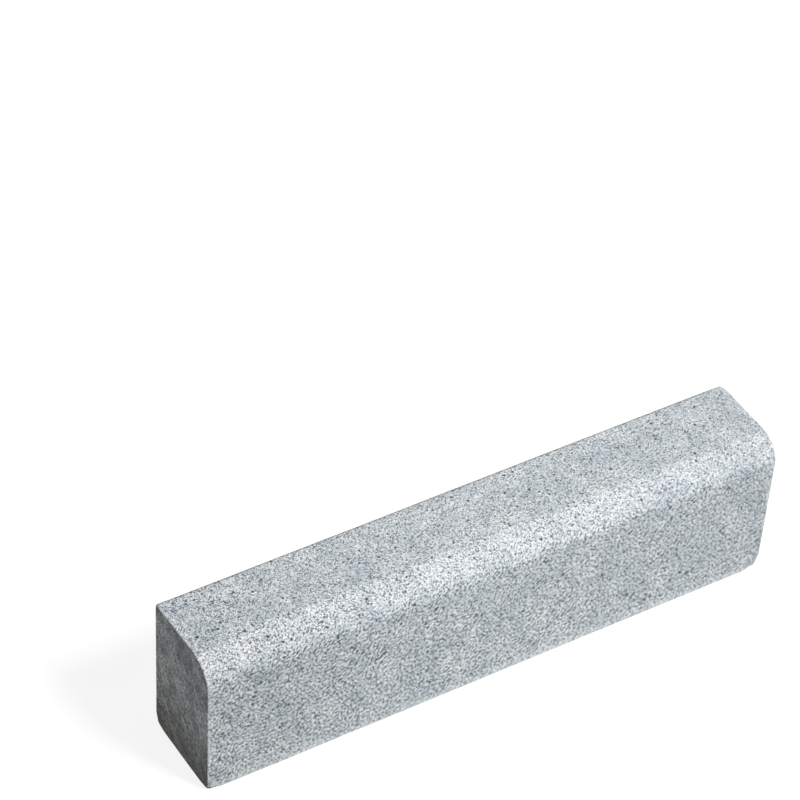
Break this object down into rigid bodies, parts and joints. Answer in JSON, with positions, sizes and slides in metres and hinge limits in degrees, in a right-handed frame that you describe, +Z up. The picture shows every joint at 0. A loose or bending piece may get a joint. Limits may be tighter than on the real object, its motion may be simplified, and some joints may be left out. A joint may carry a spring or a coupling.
{
  "type": "granite kerb stone",
  "caption": "Straight sawn granite kerb block with a rounded nose along one top edge and eased arrises, laid end to end to edge a road, path or bed.",
  "frame": {"origin": "centre of the bed face, on the ground", "axes": "+X along the kerb line, +Y from the road face to the back, +Z up; the rounded nose is at the top of the -Y face"},
  "size_m": [0.5, 0.08, 0.13],
  "materials": {
    "granite": "matte"
  },
  "bodies": {
    "root": {"kerb_stone": "granite"}
  },
  "joints": []
}
